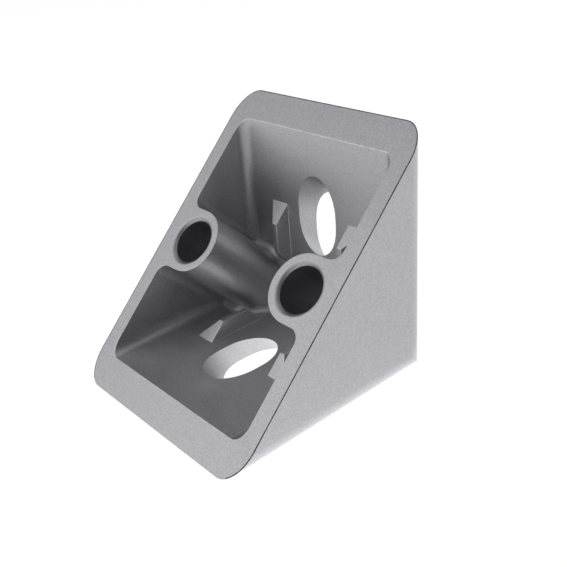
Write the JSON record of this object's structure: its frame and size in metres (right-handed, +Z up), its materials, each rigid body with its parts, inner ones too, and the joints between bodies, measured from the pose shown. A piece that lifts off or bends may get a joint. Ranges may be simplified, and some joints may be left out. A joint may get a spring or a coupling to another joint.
{
  "type": "t slot corner bracket",
  "caption": "Cast corner bracket for slotted framing: legs at a right angle, side walls, a sloping pocket with posts, lugs and slanted bolt holes.",
  "frame": {"origin": "middle of the base leg's outer face: half the width, half the leg length, on the plane that the bracket stands on", "axes": "+X across the bracket, +Y out of the back leg's outer face, +Z up along the back leg; the sloping face looks towards -Y and +Z"},
  "size_m": [0.04, 0.04, 0.04],
  "materials": {
    "cast_aluminium": "die cast, fine blasted, matte"
  },
  "bodies": {
    "root": {"corner_bracket": "cast_aluminium"}
  },
  "joints": []
}
